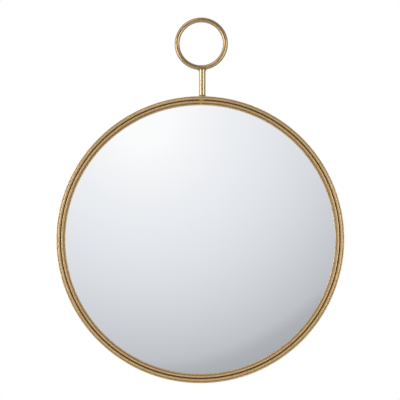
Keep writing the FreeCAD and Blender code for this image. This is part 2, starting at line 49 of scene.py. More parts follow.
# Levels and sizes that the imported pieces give
hoop_low, hoop_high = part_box("angle_hoop")
outer_rod_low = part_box("outer_bead_rod")[0]
board_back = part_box("back_board")[1].y
ring_low, ring_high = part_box("hanging_ring")
stem_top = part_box("stem")[1].z
frame_radius = hoop_high.x
lip_front = hoop_low.y
hoop_back = hoop_high.y
ring_rod = (ring_high.y - ring_low.y) / 2
ring_bend = (ring_high.x - ring_low.x) / 2 - ring_rod
ring_centre = (ring_low + ring_high) / 2

# Sections of the frame's pieces; a rod's size is its radius
sheet_wall = 0.002
lip_width = 0.0176
lip_back = lip_front + sheet_wall
bead_rod = 0.003175
bead_gap = 0.0002
groove_radius = frame_radius - lip_width / 2
outer_bead_bend = groove_radius + bead_rod + bead_gap / 2
inner_bead_bend = groove_radius - bead_rod - bead_gap / 2
bead_level = outer_rod_low.y + bead_rod
stem_rod = 0.0065
stem_across = 0.004
stem_level = ring_centre.y
stem_sink = 0.0002

# Sheet, wire and screws of the back
tab_sheet = 0.0015
strap_sheet = 0.001
screw_head = 0.0035
wire_rod = 0.0015
eye_clearance = 0.0001
eye_outside = wire_rod + eye_clearance + strap_sheet
rest_gap = 0.0003

# Colours of the gilding: leaf from a low to a high tone, rubbed warm in places, and brown glaze,
# also used for painted shade
LEAF_LOW = (0.55, 0.365, 0.155)
LEAF_HIGH = (0.63, 0.450, 0.225)
LEAF_WARM = (0.59, 0.375, 0.160)
GLAZE_AND_SHADE = (0.270, 0.148, 0.040)
LEAF_RELIEF = 0.000008

# How each piece was finished: how dull it is rubbed and its lacquer; the tone over its leaf is
# painted light, a lighter copy of the gilding on the frame, a darker one on the ring and one a
# little darker on the stem
FRAME_GILDING = {"tone": (1.51, 1.48, 1.33), "rough": 0.32, "coat_rough": 0.24, "coat_ior": 2.2}
RING_GILDING = {"tone": (0.79, 0.75, 0.61), "rough": 0.24, "coat_rough": 0.17, "coat_ior": 1.85}
STEM_GILDING = {"tone": (0.97, 0.93, 0.80), "rough": 0.20, "coat_rough": 0.12, "coat_ior": 2.2}

# The two rods: painted shade, in the brown of the glaze, on the flank away from the groove,
# and the share of the rod's radius at which its crest is rubbed flat
OUTER_FLANK_SHADE = 0.72
INNER_FLANK_SHADE = 0.92
CREST_SHARE = 0.90
HAMMER_DEPTH = 0.000008

# Softboxes: azimuth (0 in front, 90 at +X) and elevation in degrees, width, height, radiance
SOFTBOXES = {
    "left_softbox": (-50.0, 6.0, 0.36, 1.1, 6.0),
    "right_softbox": (38.0, 5.0, 0.34, 1.1, 4.5),
    "top_softbox": (-25.0, 50.0, 0.7, 0.5, 2.0),
}
SOFTBOX_DISTANCE = 1.7
SOFTBOX_COLOUR = (0.96, 1.0, 1.06)
ROOM_LIGHT = (0.95, 0.90, 0.80)


class Value:
    """A socket of a node tree. Python's operators on it add Math nodes."""

    def __init__(self, tree, socket):
        self.tree = tree
        self.socket = socket

    def __getitem__(self, output):
        return Value(self.tree, self.socket.node.outputs[output])

    def __add__(self, other):
        return maths(self.tree, "ADD", self, other)

    __radd__ = __add__

    def __mul__(self, other):
        return maths(self.tree, "MULTIPLY", self, other)

    __rmul__ = __mul__

    def __sub__(self, other):
        return maths(self.tree, "SUBTRACT", self, other)

    def __rsub__(self, other):
        return maths(self.tree, "SUBTRACT", other, self)

    def __truediv__(self, other):
        return maths(self.tree, "DIVIDE", self, other)

    def __pow__(self, power):
        return maths(self.tree, "POWER", self, power)

    def __neg__(self):
        return maths(self.tree, "MULTIPLY", self, -1.0)


def plug(tree, socket, item):
    """Give a socket a link or a plain value."""
    if isinstance(item, Value):
        tree.links.new(item.socket, socket)
    else:
        socket.default_value = item


def maths(tree, operation, *items):
    """One Math node."""
    node = tree.nodes.new("ShaderNodeMath")
    node.operation = operation
    for socket, item in zip(node.inputs, items):
        plug(tree, socket, item)
    return Value(tree, node.outputs[0])


class Tree:
    """A node tree, and the one way in which nodes other than Math get into it."""

    def __init__(self, tree):
        self.tree = tree

    def add(self, kind, settings=None, inputs=None, output=0):
        """A node with these settings and inputs, as the value of one of its outputs."""
        node = self.tree.nodes.new(kind)
        for name, setting in (settings or {}).items():
            setattr(node, name, setting)
        for name, item in (inputs or {}).items():
            plug(self.tree, node.inputs[name], item)
        return Value(self.tree, node.outputs[output])

    def smooth(self, value, low, high, start=0.0, end=1.0):
        """A value eased from start to end while it goes from low to high."""
        settings = {"interpolation_type": "SMOOTHSTEP"}
        inputs = {0: value, 1: low, 2: high, 3: start, 4: end}
        return self.add("ShaderNodeMapRange", settings, inputs)

    def mix(self, factor, first, second):
        """A mix of two colours: the first at factor 0, the second at factor 1."""
        settings = {"data_type": "RGBA"}
        return self.add("ShaderNodeMix", settings, {0: factor, 6: first, 7: second}, output=2)

    def vector(self, operation, *items):
        """One Vector Math node."""
        inputs = dict(enumerate(items))
        return self.add("ShaderNodeVectorMath", {"operation": operation}, inputs)

    def combine(self, x, y, z):
        """A vector of three numbers."""
        return self.add("ShaderNodeCombineXYZ", None, {0: x, 1: y, 2: z})

    def split(self, vector):
        """A vector's three numbers."""
        parts = self.add("ShaderNodeSeparateXYZ", None, {0: vector})
        return parts["X"], parts["Y"], parts["Z"]

    def noise(self, place, scale, detail=3.0, roughness=0.55, distortion=0.0):
        """Noise from about 0 to 1, with scale patches to a metre."""
        inputs = {
            "Vector": place,
            "Scale": scale,
            "Detail": detail,
            "Roughness": roughness,
            "Distortion": distortion,
        }
        return self.add("ShaderNodeTexNoise", None, inputs)

    def drawn_noise(self, x, y, z, bend, stretch, scale, detail=3.0, roughness=0.6):
        """Noise drawn out along a hoop about the Y axis, without a seam.

        Where bend is None it is drawn out along Z."""
        if bend is None:
            return self.noise(self.combine(x, y, z / stretch), scale, detail, roughness)
        radius = (x * x + z * z) ** 0.5
        turn = bend / stretch
        inputs = {
            "Vector": self.combine(x / radius * turn, radius - bend, z / radius * turn),
            "W": y,
            "Scale": scale,
            "Detail": detail,
            "Roughness": roughness,
        }
        return self.add("ShaderNodeTexNoise", {"noise_dimensions": "4D"}, inputs)


class Finish(Tree):
    """A material of one Principled shader, on Object coordinates."""

    def __init__(self, name):
        self.material = bpy.data.materials.new(name)
        self.material.use_nodes = True
        super().__init__(self.material.node_tree)
        self.shader = self.tree.nodes["Principled BSDF"]
        self.place = self.add("ShaderNodeTexCoord", output="Object")

    def set(self, **sockets):
        """Give the shader's sockets their links and values; _ stands for a space in a name."""
        for name, item in sockets.items():
            plug(self.tree, self.shader.inputs[name.replace("_", " ")], item)

    def bump(self, height, depth):
        """Fine relief: height runs from 0 to 1 over this many metres."""
        inputs = {"Height": height, "Distance": depth, "Strength": 1.0}
        return self.add("ShaderNodeBump", None, inputs)

    def cells(self, scale):
        """Rounded cells, with scale of them to a metre: 0 in the middle of each."""
        return self.add("ShaderNodeTexVoronoi", None, {"Vector": self.place, "Scale": scale})

    def mark(self, name):
        """A number that the mesh keeps at each of its points."""
        settings = {"attribute_type": "GEOMETRY", "attribute_name": name}
        return self.add("ShaderNodeAttribute", settings, output="Fac")


def rgb(red, green, blue):
    return (red, green, blue, 1.0)


def grey(level):
    return rgb(level, level, level)


def toned(colour, tone):
    """A colour times a tone, part by part."""
    return rgb(*(share * part for share, part in zip(tone, colour)))


def dimmed(colour, share):
    """This share of a colour."""
    return rgb(*(share * part for part in colour))


def antique_gold(piece, centre, bend, tone, rough, coat_rough, coat_ior):
    """Gold leaf over a brown ground: rubbed bright where it stands proud, glazed in corners, with
    painted shade in the glaze's brown where its marks ask for it.

    Its streaks run round the centre at the radius bend, or upright where bend is None."""
    finish = Finish(f"antique_gold_{piece}")
    x, y, z = finish.split(finish.vector("SUBTRACT", finish.place, tuple(centre)))

    cloud = finish.noise(finish.place, scale=22.0, detail=2.0)
    leaf = finish.noise(finish.place, scale=130.0, roughness=0.5, distortion=0.4)
    streak = finish.drawn_noise(x, y, z, bend, stretch=7.0, scale=900.0)
    speck = finish.noise(finish.place, scale=1500.0, detail=2.0, roughness=0.5)
    glaze_and_shade_mark = finish.mark("patina")

    pale = finish.smooth(leaf + 0.35 * streak + 0.25 * cloud, 0.66, 1.02)
    # The tone paints light: the same gilding lighter on the frame and darker on the ring and stem
    gold = finish.mix(pale, toned(LEAF_LOW, tone), toned(LEAF_HIGH, tone))
    warm = finish.smooth(cloud, 0.35, 0.75)
    gold = finish.mix(0.4 * warm, gold, toned(LEAF_WARM, tone))
    # Glaze from the piece's marks, which carry real patina and painted shade on flanks and in
    # corners, and random glaze from the streaks and leaf
    glaze = glaze_and_shade_mark * 1.15 + 0.42 * streak + 0.5 * leaf + 0.22 * speck
    glaze_and_shade = finish.smooth(glaze, 0.85, 1.40)
    height = 0.5 * leaf + 0.35 * streak + 0.15 * speck
    finish.set(
        Base_Color=finish.mix(0.92 * glaze_and_shade, gold, rgb(*GLAZE_AND_SHADE)),
        Metallic=1.0 - 0.3 * glaze_and_shade,
        Roughness=rough + 0.10 * leaf + 0.20 * glaze_and_shade,
        Normal=finish.bump(height, LEAF_RELIEF),
        Coat_Weight=1.0 - 0.9 * glaze_and_shade,
        Coat_Roughness=coat_rough,
        Coat_IOR=coat_ior,
    )
    return finish.material


def mirror_glass():
    """Silvered float glass, seen as one polished face, with the faintest haze of wiping."""
    finish = Finish("mirror_glass")
    wiped = finish.noise(finish.place, scale=7.0, roughness=0.5, distortion=0.8)
    finish.set(
        Base_Color=finish.mix(wiped, rgb(0.955, 0.968, 0.972), rgb(0.972, 0.980, 0.985)),
        Metallic=1.0,
        Roughness=finish.smooth(wiped, 0.3, 0.8, 0.004, 0.012),
    )
    return finish.material


def backing_paint():
    """The grey paint over the silver, as it ran."""
    finish = Finish("backing_paint")
    flow = finish.noise(finish.place, scale=60.0)
    finish.set(
        Base_Color=finish.mix(flow, rgb(0.22, 0.24, 0.26), rgb(0.30, 0.32, 0.34)),
        Roughness=0.45 + 0.15 * flow,
    )
    return finish.material


def black_foam():
    """Closed-cell foam tape: small cells over a flat matt black."""
    finish = Finish("black_foam")
    cells = finish.cells(2200.0)
    finish.set(
        Base_Color=finish.mix(cells, rgb(0.035, 0.035, 0.037), rgb(0.018, 0.018, 0.019)),
        Roughness=0.85 + 0.1 * cells,
        Normal=finish.bump(cells, depth=0.0002),
    )
    return finish.material


def fibreboard():
    """Pressed wood fibres: a warm brown felt of fine flecks, darker on the sawn edge."""
    finish = Finish("fibreboard")
    face_end, edge_start = frame_radius - 0.0048, frame_radius - 0.0044
    x, y, z = finish.split(finish.place)
    fibres = finish.noise(finish.place, scale=900.0, detail=4.0, roughness=0.65, distortion=1.2)
    turned = finish.combine(x * 0.3 + z * 0.9, y, z * 0.3 - x * 0.9)
    crossing = finish.noise(turned, scale=650.0, roughness=0.6, distortion=2.0)
    cloud = finish.noise(finish.place, scale=26.0)
    dark_bits = finish.noise(finish.place, scale=420.0, detail=2.0, roughness=0.5)
    fleck = finish.smooth(dark_bits, 0.62, 0.74)
    edge = finish.smooth((x * x + z * z) ** 0.5, face_end, edge_start)
    colour = finish.mix(fibres, rgb(0.245, 0.150, 0.078), rgb(0.400, 0.268, 0.155))
    light = finish.smooth(crossing, 0.4, 0.7)
    for factor, tint in (
        (0.35 * light, rgb(0.46, 0.33, 0.20)),
        (0.45 * fleck, rgb(0.130, 0.075, 0.038)),
        (0.3 * cloud, rgb(0.30, 0.20, 0.115)),
        (0.5 * edge, rgb(0.155, 0.088, 0.042)),
    ):
        colour = finish.mix(factor, colour, tint)
    finish.set(
        Base_Color=colour,
        Roughness=0.62 + 0.2 * fibres,
        Normal=finish.bump(0.6 * fibres + 0.4 * crossing, depth=0.00012),
    )
    return finish.material


def zinc(name, tint, brushed):
    """Zinc plate: pale blue-grey spangle, brushed one way where the sheet was rolled."""
    finish = Finish(name)
    x, y, z = finish.split(finish.place)
    rolled = finish.combine(x, y, z * (1.0 - 0.93 * brushed))
    lines = finish.noise(rolled, scale=2600.0, roughness=0.6)
    spangle = finish.cells(650.0)
    dull = finish.noise(finish.place, scale=210.0, detail=4.0, roughness=0.6)
    colour = finish.mix(0.5 * spangle + 0.5 * lines, dimmed(tint, 0.72), rgb(*tint))
    colour = finish.mix(finish.smooth(dull, 0.5, 0.8, 0.0, 0.5), colour, rgb(0.40, 0.39, 0.36))
    finish.set(
        Base_Color=colour,
        Metallic=1.0,
        Roughness=0.26 + 0.2 * dull + 0.08 * lines,
        Normal=finish.bump(0.7 * lines + 0.3 * dull, depth=0.00004),
    )
    return finish.material


def bumper_rubber():
    """Moulded black rubber with some dust on it."""
    finish = Finish("bumper_rubber")
    skin = finish.noise(finish.place, scale=1800.0)
    dust = finish.noise(finish.place, scale=300.0, roughness=0.6)
    dusty = finish.smooth(dust, 0.45, 0.75)
    finish.set(
        Base_Color=finish.mix(dusty, rgb(0.030, 0.030, 0.031), rgb(0.075, 0.073, 0.070)),
        Roughness=0.55 + 0.2 * skin,
        Normal=finish.bump(skin, depth=0.00006),
    )
    return finish.material


def studio_floor():
    """Pale matt floor: the camera sees it nearly white, with the object's shadow on it."""
    finish = Finish("studio_floor")
    tone = finish.noise(finish.place, scale=1.5, detail=2.0)
    seen = finish.add("ShaderNodeLightPath", output="Is Camera Ray")
    finish.set(
        Base_Color=finish.mix(tone, grey(0.86), grey(0.88)),
        Roughness=0.8,
        Emission_Color=finish.mix(seen, grey(0.0), grey(0.25)),
        Emission_Strength=1.0,
    )
    return finish.material


def new_object(name, data):
    """An object of this data, in the scene."""
    item = bpy.data.objects.new(name, data)
    bpy.context.scene.collection.objects.link(item)
    return item


def new_piece(name, points, faces, finish, sharp=40.0, marks=None):
    """A mesh from points and faces, shaded smooth except at edges over this angle."""
    mesh = bpy.data.meshes.new(name)
    mesh.from_pydata([tuple(p) for p in points], [], faces)
    mesh.update()
    if marks is not None:
        mesh.attributes.new("patina", "FLOAT", "POINT").data.foreach_set("value", marks)
    mesh.shade_smooth()
    mesh.set_sharp_from_angle(angle=math.radians(sharp))
    mesh.materials.append(finish)
    return new_object(name, mesh)


def round_angles(steps):
    """Angles once round, in radians."""
    return [2.0 * math.pi * step / steps for step in range(steps)]


def ring_of(radius, depth, steps):
    """Points round the Y axis at this radius and depth."""
    return [
        (radius * math.cos(angle), depth, radius * math.sin(angle)) for angle in round_angles(steps)
    ]


def loft(rows, count, ends="capped"):
    """Faces between rows of count points each. The ends are capped, open or joined."""
    faces = []
    for row in range(rows if ends == "joined" else rows - 1):
        this, following = row * count, (row + 1) % rows * count
        for step in range(count):
            after = (step + 1) % count
            faces.append((this + step, this + after, following + after, following + step))
    if ends == "capped":
        faces.append(tuple(reversed(range(count))))
        last = (rows - 1) * count
        faces.append(tuple(range(last, last + count)))
    return faces


def between_poles(rows, count):
    """Faces of a round shell: its rows of count points, then its first and its last pole."""
    faces = []
    for row in range(rows - 1):
        this, following = row * count, (row + 1) * count
        for step in range(count):
            after = (step + 1) % count
            faces.append((this + step, following + step, following + after, this + after))
    first_pole, last_row = rows * count, (rows - 1) * count
    for step in range(count):
        after = (step + 1) % count
        faces.append((first_pole, step, after))
        faces.append((first_pole + 1, last_row + after, last_row + step))
    return faces


def inside_out(faces):
    return [face[::-1] for face in faces]


def joined(parts):
    """Several shells as one list of points and one of faces."""
    points, faces = [], []
    for more_points, more_faces in parts:
        start = len(points)
        points += more_points
        faces += [tuple(start + index for index in face) for face in more_faces]
    return points, faces


def arc(centre, radius, start, end, steps):
    """Points of an arc in the plane of a section, from one angle in degrees to another."""
    points = []
    for step in range(steps + 1):
        angle = math.radians(start + (end - start) * step / steps)
        points.append((centre[0] + radius * math.cos(angle), centre[1] + radius * math.sin(angle)))
    return points


def straight(start, end, steps):
    """Points between two corners, both left out."""
    return [
        (start[0] + (end[0] - start[0]) * k / steps, start[1] + (end[1] - start[1]) * k / steps)
        for k in range(1, steps)
    ]


def eased(value, low, high):
    """0 up to low, 1 from high on, and a smooth way between."""
    t = min(max((value - low) / (high - low), 0.0), 1.0)
    return t * t * (3.0 - 2.0 * t)


def made_by_nodes(name, tree, points, turns, settings):
    """Run a Geometry Nodes tree on a few points, and keep its result as a plain mesh."""
    mesh = bpy.data.meshes.new(name)
    mesh.from_pydata([tuple(p) for p in points], [], [])
    mesh.attributes.new("turn", "FLOAT", "POINT").data.foreach_set("value", turns)
    piece = new_object(name, mesh)
    modifier = piece.modifiers.new("shape", "NODES")
    modifier.node_group = tree
    identifiers = {item.name: item.identifier for item in tree.interface.items_tree}
    for setting, value in settings.items():
        modifier[identifiers[setting]] = value
    graph = bpy.context.evaluated_depsgraph_get()
    made = bpy.data.meshes.new_from_object(piece.evaluated_get(graph))
    piece.modifiers.clear()
    piece.data = made
    made.name = name
    bpy.data.meshes.remove(mesh)
    return piece


class Shape(Tree):
    """A Geometry Nodes tree with named inputs."""

    def __init__(self, name):
        super().__init__(bpy.data.node_groups.new(name, "GeometryNodeTree"))
        self.new_socket("Geometry", "INPUT", "Geometry")
        self.new_socket("Result", "OUTPUT", "Geometry")
        self.entry = self.tree.nodes.new("NodeGroupInput")
        self.exit = self.tree.nodes.new("NodeGroupOutput")

    def new_socket(self, name, direction, kind):
        self.tree.interface.new_socket(
            name=name, in_out=direction, socket_type=f"NodeSocket{kind}"
        )

    def input(self, name, kind="Float"):
        """A named input of this kind, as a value."""
        self.new_socket(name, "INPUT", kind)
        return Value(self.tree, self.entry.outputs[name])

    def finish(self, geometry, material):
        """End the tree with real geometry of one material."""
        geometry = self.add("GeometryNodeRealizeInstances", None, {0: geometry})
        inputs = {"Geometry": geometry, "Material": material}
        geometry = self.add("GeometryNodeSetMaterial", None, inputs)
        plug(self.tree, self.exit.inputs[0], geometry)
        return self.tree


def bent_rod_tree():
    """A round rod bent to a closed hoop, with a hammered skin and a flat seat on its back."""
    flank_start, flank_full = 0.0007, 0.0021
    crease_full, crease_end = 0.0012, 0.0025
    shape = Shape("bent_rod")
    bend = shape.input("Bend Radius")
    rod = shape.input("Rod Radius")
    centre = shape.input("Centre", "Vector")
    steps = shape.input("Steps Round", "Int")
    section_points = shape.input("Section Points", "Int")
    depth = shape.input("Hammer Depth")
    marks = shape.input("Hammer Marks per Metre")
    waver = shape.input("Waver")
    seat = shape.input("Seat Level")
    crest = shape.input("Crest Level")
    # Flank Shade is painted shade in glaze brown on one flank of the rod; Shaded Flank Side picks
    # the flank
    flank_shade = shape.input("Flank Shade")
    side = shape.input("Shaded Flank Side")
    crease = shape.input("Crease Radius")
    seed = shape.input("Seed", "Int")
    material = shape.input("Finish", "Material")

    def circle(points, radius):
        inputs = {"Resolution": points, "Radius": radius}
        return shape.add("GeometryNodeCurvePrimitiveCircle", {"mode": "RADIUS"}, inputs)

    path = shape.add("GeometryNodeTransform", None, {
        "Geometry": circle(steps, bend), "Rotation": (math.pi / 2, 0.0, 0.0), "Translation": centre
    })
    section = circle(section_points, rod)
    skin = shape.add("GeometryNodeCurveToMesh", None, {"Curve": path, "Profile Curve": section})

    # Hammer marks and the slow sway of a rod bent by hand; both only go inward
    place = shape.add("GeometryNodeInputPosition")
    outward = shape.add("GeometryNodeInputNormal")
    across, back, up = shape.split(shape.vector("SUBTRACT", place, centre))
    dents = shape.drawn_noise(
        across, back + seed, up, bend, stretch=3.0, scale=marks, detail=1.0, roughness=0.4
    )
    shifted = shape.vector("ADD", place, shape.combine(seed * 3.7, 0.0, seed * 1.3))
    sway = shape.noise(shifted, scale=9.0, detail=1.0, roughness=0.4)
    push = (dents - 1.0) * depth * 2.0 + (sway - 1.0) * waver * 2.0
    offset = shape.add(
        "ShaderNodeVectorMath", {"operation": "SCALE"}, {"Vector": outward, "Scale": push}
    )
    skin = shape.add("GeometryNodeSetPosition", None, {"Geometry": skin, "Offset": offset})

    # The flat rubbed crest in front and the flat seat behind
    x, y, z = shape.split(place)
    rubbed = maths(shape.tree, "MAXIMUM", y, crest)
    seated = maths(shape.tree, "MINIMUM", rubbed, seat)
    flattened = shape.combine(x, seated, z)
    skin = shape.add("GeometryNodeSetPosition", None, {"Geometry": skin, "Position": flattened})

    # Painted shade in glaze brown on one flank, and glaze pooled beside the crease, which also
    # paints the crease's shade
    radius = (across * across + up * up) ** 0.5
    from_crease = maths(shape.tree, "ABSOLUTE", radius - crease)
    on_flank = shape.smooth((radius - bend) * side, flank_start, flank_full)
    in_crease = shape.smooth(from_crease, crease_full, crease_end, 1.0, 0.0)
    glaze = maths(shape.tree, "MAXIMUM", flank_shade * on_flank, in_crease)
    skin = shape.add(
        "GeometryNodeStoreNamedAttribute",
        {"data_type": "FLOAT", "domain": "POINT"},
        # The stored mark holds real patina and painted shade together
        {"Geometry": skin, "Name": "patina", "Value": glaze},
    )
    skin = shape.add("GeometryNodeSetShadeSmooth", None, {"Geometry": skin, "Shade Smooth": True})
    return shape.finish(skin, material)


def set_round_tree():
    """One shape set on every point, turned about Y by the point's own turn and a little more."""
    shape = Shape("set_round")
    pattern = shape.input("Shape", "Object")
    loose = shape.input("Loose Turn")
    seed = shape.input("Seed", "Int")
    material = shape.input("Finish", "Material")
    points = Value(shape.tree, shape.entry.outputs["Geometry"])
    number = {"data_type": "FLOAT"}
    turn = shape.add("GeometryNodeInputNamedAttribute", number, {"Name": "turn"})
    span = {"Min": 0.0, "Max": 1.0, "Seed": seed}
    more = shape.add("FunctionNodeRandomValue", number, span, output=1)
    placed = shape.add("GeometryNodeInstanceOnPoints", None, {
        "Points": points,
        "Instance": shape.add(
            "GeometryNodeObjectInfo", None, {"Object": pattern}, output="Geometry"
        ),
        "Rotation": shape.combine(0.0, turn + more * loose, 0.0),
    })
    return shape.finish(placed, material)


def keep(piece, slot, *replaced, body=BODY):
    """Put a finished piece on its body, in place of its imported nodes."""
    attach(piece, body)
    if replaced:
        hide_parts(*replaced)


def bent_rod(name, tree, finish, settings):
    """A rod bent by the nodes round one centre."""
    settings = {"Hammer Depth": HAMMER_DEPTH, "Finish": finish, **settings}
    return made_by_nodes(name, tree, [(0, 0, 0)], [0.0], settings)


def many_of(shape, name, tree, finish, points, turns=None, loose=0.0, seed=0):
    """A shape set on every point by the nodes, as one piece. The single shape isn't kept."""
    settings = {"Shape": shape, "Loose Turn": loose, "Seed": seed, "Finish": finish}
    piece = made_by_nodes(name, tree, points, turns or [0.0] * len(points), settings)
    bpy.data.objects.remove(shape)
    return piece


def make_beads(tree, finish):
    """The two rods along the lip, bent to hoops side by side and welded to it."""
    for name, bend, flank_shade, side, seed in (
        ("outer_bead", outer_bead_bend, OUTER_FLANK_SHADE, 1.0, 3),
        ("inner_bead", inner_bead_bend, INNER_FLANK_SHADE, -1.0, 8),
    ):
        bead = bent_rod(name, tree, finish, {
            "Bend Radius": bend,
            "Rod Radius": bead_rod,
            "Centre": (0.0, bead_level, 0.0),
            "Steps Round": 1080,
            "Section Points": 34,
            "Hammer Marks per Metre": 190.0,
            "Waver": 0.00004,
            "Seat Level": lip_front,
            "Crest Level": bead_level - CREST_SHARE * bead_rod,
            "Flank Shade": flank_shade,
            "Shaded Flank Side": side,
            "Crease Radius": groove_radius,
            "Seed": seed,
        })
        keep(bead, "antique_gold", f"{name}_rod")


def make_hanging_ring(tree, finish):
    """The ring: the same kind of rod, with no seat, no rubbed crest and no crease."""
    clear = 0.01
    ring = bent_rod("ring_rod", tree, finish, {
        "Bend Radius": ring_bend,
        "Rod Radius": ring_rod,
        "Centre": tuple(ring_centre),
        "Steps Round": 420,
        "Section Points": 36,
        "Hammer Marks per Metre": 160.0,
        "Waver": 0.00005,
        "Seat Level": ring_high.y + clear,
        "Crest Level": ring_low.y - clear,
        "Flank Shade": 0.0,
        "Crease Radius": 0.0,
        "Seed": 5,
    })
    keep(ring, "antique_gold", "hanging_ring")


def hoop_section():
    """The angle hoop's section as radius and depth, anticlockwise, with its bends and edges."""
    outer_bend, inner_bend, edge = 0.0006, 0.0005, 0.0004
    lip_inside = frame_radius - lip_width
    wall_inside = frame_radius - sheet_wall
    section = arc((frame_radius - outer_bend, lip_front + outer_bend), outer_bend, -90, 0, 8)
    section += straight(section[-1], (frame_radius, hoop_back - edge), 9)
    section += arc((frame_radius - edge, hoop_back - edge), edge, 0, 90, 3)
    section += arc((wall_inside + edge, hoop_back - edge), edge, 90, 180, 3)
    section += straight(section[-1], (wall_inside, lip_back + inner_bend), 7)
    section += arc((wall_inside - inner_bend, lip_back + inner_bend), inner_bend, 0, -90, 3)
    section += straight(section[-1], (lip_inside + edge, lip_back), 7)
    section += arc((lip_inside + edge, lip_back - edge), edge, 90, 180, 3)
    section += arc((lip_inside + edge, lip_front + edge), edge, 180, 270, 3)
    section += straight(section[-1], (frame_radius - outer_bend, lip_front), 22)
    return section


def make_angle_hoop(finish):
    """The rolled angle: it sways a little, and its glaze pools against the two rods, as real glaze
    and as painted shade in the corners there.
    """
    steps = 900
    sway, sways_per_metre = 0.00007, 120.0
    lip_skin, rim_skin, wall_skin, rim_inset = 0.0004, 0.001, 0.0005, 0.00008
    pooled_glaze_and_shade, clean_wall, inside = 0.75, 0.1, 0.55
    pool_start, pool_end = 1.9 * bead_rod, 2.0 * bead_rod + 0.0008
    section = hoop_section()
    points, marks = [], []
    for angle in round_angles(steps):
        across, up = math.cos(angle), math.sin(angle)
        for radius, depth in section:
            place = Vector((radius * across, depth, radius * up))
            ripple = sway * noise.noise(place * sways_per_metre)
            on_lip = depth < lip_front + lip_skin
            if radius > frame_radius - rim_skin:
                radius = min(radius + ripple, frame_radius) - rim_inset
            if on_lip:
                depth += abs(ripple)
            points.append((radius * across, depth, radius * up))
            # Near the rods the lip gets glaze together with painted shade of the corner between lip
            # and rod
            near_rods = 1.0 - eased(abs(radius - groove_radius), pool_start, pool_end)
            glaze = pooled_glaze_and_shade * near_rods if on_lip else clean_wall
            if depth > lip_back and radius < frame_radius - wall_skin:
                glaze = inside
            marks.append(glaze)
    faces = loft(steps, len(section), ends="joined")
    hoop = new_piece("angle_rim", points, faces, finish, sharp=180.0, marks=marks)
    keep(hoop, "antique_gold", "angle_hoop")


def stem_foot(x, _):
    """How high the stem starts: on the outside of the hoop."""
    return (frame_radius**2 - x**2) ** 0.5


def stem_crown(x, y):
    """How high the stem ends: just inside the skin of the hanging ring's lowest part."""
    sideways = min(abs(y - ring_centre.y), 0.995 * ring_rod)
    reach = ring_bend + (ring_rod**2 - sideways**2) ** 0.5
    underside = ring_centre.z - (reach**2 - (x - ring_centre.x) ** 2) ** 0.5
    return min(underside + stem_sink, stem_top - stem_sink / 2)


def stem_skin(angle, share):
    """A point this share of the way up the stem's side, and the glaze that it carries."""
    weld, weld_height, weld_glaze, weld_lumps = 0.0012, 0.0040, 0.0045, 0.5
    flare, flare_height, flare_glaze, flare_lumps = 0.0026, 0.0050, 0.005, 0.35
    flare_depth, waver = 0.0003, 0.00002
    lean_x, lean_y = math.cos(angle), math.sin(angle)

    def spot(radius):
        x, y = stem_across + radius * lean_x, stem_level + radius * lean_y
        foot, crown = stem_foot(x, y), stem_crown(x, y)
        return foot, crown, (x, y, foot + (crown - foot) * share)

    foot, crown, (_, _, height) = spot(stem_rod)
    over_foot, under_ring = height - foot, crown - height
    place = Vector((lean_x * 6.0, lean_y * 6.0, height * 900.0))
    lumps = noise.noise(place * 0.35)
    swell = weld * max(0.0, 1.0 - over_foot / weld_height) ** 2 * (1.0 + weld_lumps * lumps)
    sideways = abs(lean_x) ** 2.5
    wing = flare * sideways + flare_depth * (1.0 - sideways)
    swell += wing * max(0.0, 1.0 - under_ring / flare_height) ** 2 * (1.0 + flare_lumps * lumps)
    point = spot(stem_rod + (swell + waver * noise.noise(place * 0.12)))[2]
    at_foot = 1.0 - eased(over_foot, 0.0, weld_glaze)
    at_ring = 1.0 - eased(under_ring, 0.0, flare_glaze)
    return point, min(0.9 * at_foot + 0.7 * at_ring, 1.0)


def make_stem(finish):
    """A round bar with a weld's fillet at its foot and flares where it meets the ring."""
    steps, rows, cap_glaze = 64, 72, 0.9
    points, marks = [], []
    for row in range(rows + 1):
        share = eased(row / rows, 0.0, 1.0)
        for angle in round_angles(steps):
            point, glaze = stem_skin(angle, share)
            points.append(point)
            marks.append(glaze)
    faces = loft(rows + 1, steps, ends="open")
    for row, level, order in ((0, stem_foot, -1), (rows, stem_crown, 1)):
        previous = list(range(row * steps, (row + 1) * steps))
        rim = [points[index] for index in previous]
        for shrink in (0.75, 0.5, 0.25):
            loop = list(range(len(points), len(points) + steps))
            for x, y, _ in rim:
                x = stem_across + (x - stem_across) * shrink
                y = stem_level + (y - stem_level) * shrink
                points.append((x, y, level(x, y)))
            for step in range(steps):
                after = (step + 1) % steps
                face = (previous[step], previous[after], loop[after], loop[step])
                faces.append(face[::order])
            previous = loop
        middle = len(points)
        points.append((stem_across, stem_level, level(stem_across, stem_level)))
        for step in range(steps):
            faces.append((previous[step], previous[(step + 1) % steps], middle)[::order])
    marks += [cap_glaze] * (len(points) - len(marks))
    stem = new_piece("stem_bar", points, faces, finish, sharp=60.0, marks=marks)
    keep(stem, "antique_gold", "stem")


def lump(centre, half, turn, seed, rings=12, steps=24):
    """A small weld bead: a rough ellipsoid of these half sizes, turned about Y."""
    roughness, patches = 0.16, 2.2
    points = []
    cosine, sine = math.cos(turn), math.sin(turn)
    for ring in range(1, rings):
        tilt = math.pi * ring / rings
        wide, back = math.sin(tilt), -math.cos(tilt)
        for angle in round_angles(steps):
            out = Vector((wide * math.cos(angle), back, wide * math.sin(angle)))
            patch = noise.noise(out * patches + Vector((seed, 0.0, 0.0)))
            rough = 1.0 + roughness * patch
            x, y, z = (part * size * rough for part, size in zip(out, half))
            points.append((
                centre[0] + x * cosine + z * sine, centre[1] + y, centre[2] - x * sine + z * cosine
            ))
    points += [(centre[0], centre[1] + end * half[1], centre[2]) for end in (-1, 1)]
    return points, between_poles(rings - 1, steps)


